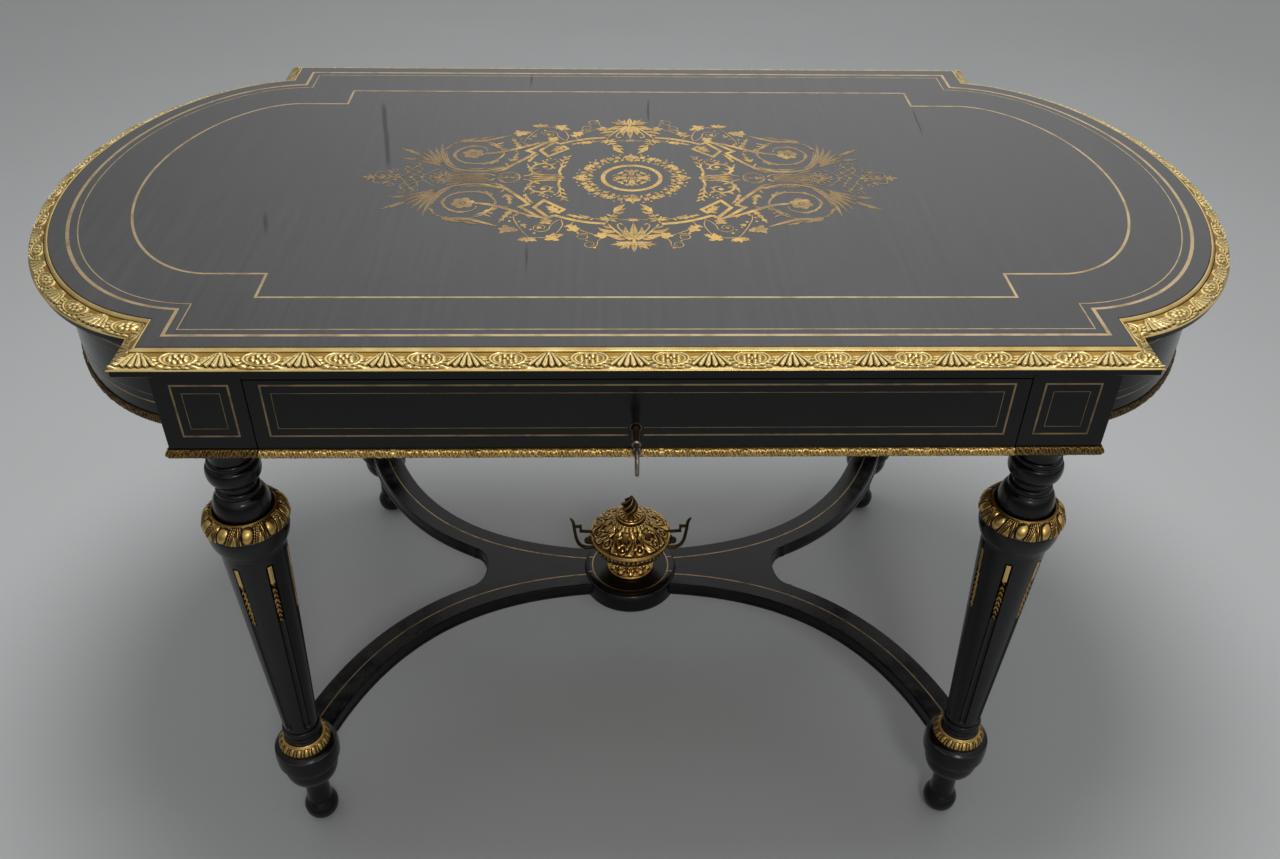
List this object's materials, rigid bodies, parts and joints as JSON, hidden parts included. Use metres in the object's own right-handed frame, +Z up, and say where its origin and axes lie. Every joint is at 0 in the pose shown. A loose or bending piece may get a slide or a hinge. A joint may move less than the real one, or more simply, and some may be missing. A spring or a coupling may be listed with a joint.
{
  "type": "centre table",
  "caption": "Ebonised centre table with lobed ends, brass inlay, gilt mounts, a locking frieze drawer, fluted legs and a curved stretcher carrying an urn.",
  "frame": {"origin": "on the floor, under the middle of the table with its key, midway between the ends", "axes": "+X along the length to the right, +Y from the drawer front to the back, +Z up"},
  "size_m": [1.298, 0.78, 0.76],
  "materials": {
    "ebonised_wood": "satin black polish",
    "gilt_brass": "gilt with dark recesses",
    "antique_bronze": "dark antique gilt",
    "drawer_oak": "bare, aged",
    "lock_steel": "dull, browned"
  },
  "bodies": {
    "table": {"top_board": "ebonised_wood", "back_apron": "ebonised_wood", "stretcher_boss": "ebonised_wood", "corner_block_front_left": "ebonised_wood", "corner_block_front_right": "ebonised_wood", "corner_block_back_left": "ebonised_wood", "corner_block_back_right": "ebonised_wood", "lobe_apron_left": "ebonised_wood", "lobe_apron_right": "ebonised_wood", "leg_front_left": "ebonised_wood", "leg_front_right": "ebonised_wood", "leg_back_left": "ebonised_wood", "leg_back_right": "ebonised_wood", "leg_foot_front_left": "ebonised_wood", "leg_foot_front_right": "ebonised_wood", "leg_foot_back_left": "ebonised_wood", "leg_foot_back_right": "ebonised_wood", "stretcher_left": "ebonised_wood", "stretcher_right": "ebonised_wood", "moulding_front": "gilt_brass", "moulding_back": "gilt_brass", "strip_back": "gilt_brass", "moulding_lobe_left": "gilt_brass", "moulding_lobe_right": "gilt_brass", "moulding_return_front_left": "gilt_brass", "moulding_return_front_right": "gilt_brass", "moulding_return_back_left": "gilt_brass", "moulding_return_back_right": "gilt_brass", "strip_lobe_left": "gilt_brass", "strip_lobe_right": "gilt_brass", "strip_block_front_left": "gilt_brass", "strip_block_front_right": "gilt_brass", "strip_block_back_left": "gilt_brass", "strip_block_back_right": "gilt_brass", "leg_ring_upper_front_left": "gilt_brass", "leg_ring_upper_front_right": "gilt_brass", "leg_ring_upper_back_left": "gilt_brass", "leg_ring_upper_back_right": "gilt_brass", "leg_ring_lower_front_left": "gilt_brass", "leg_ring_lower_front_right": "gilt_brass", "leg_ring_lower_back_left": "gilt_brass", "leg_ring_lower_back_right": "gilt_brass", "urn_body": "antique_bronze", "urn_lid": "antique_bronze", "urn_handle_left": "antique_bronze", "urn_handle_right": "antique_bronze", "top_rail": "drawer_oak", "side_rail_left": "drawer_oak", "side_rail_right": "drawer_oak", "urn_rod": "lock_steel"},
    "drawer": {"drawer_front": "ebonised_wood", "drawer_side_left": "drawer_oak", "drawer_side_right": "drawer_oak", "drawer_back": "drawer_oak", "drawer_bottom": "drawer_oak", "strip_drawer": "gilt_brass", "lock_case": "lock_steel", "escutcheon": "gilt_brass"},
    "key": {"key": "lock_steel"},
    "lock_bolt": {"lock_bolt": "lock_steel"}
  },
  "joints": [
    {"name": "drawer_slide", "type": "slide", "parent": "table", "child": "drawer", "axis": [0, -1, 0], "range_m": [0, 0.36]},
    {"name": "key_turn", "type": "hinge", "parent": "drawer", "child": "key", "pos_m": [-0.004, -0.32495, 0.667], "axis": [0, 1, 0], "range_deg": [0, 180]},
    {"name": "bolt_slide", "type": "slide", "parent": "drawer", "child": "lock_bolt", "axis": [0, 0, 1], "range_m": [0, 0.008]}
  ],
  "couplings": [
    {"joint": "key_turn", "follows": "bolt_slide", "rad_per_m": 392.7}
  ]
}
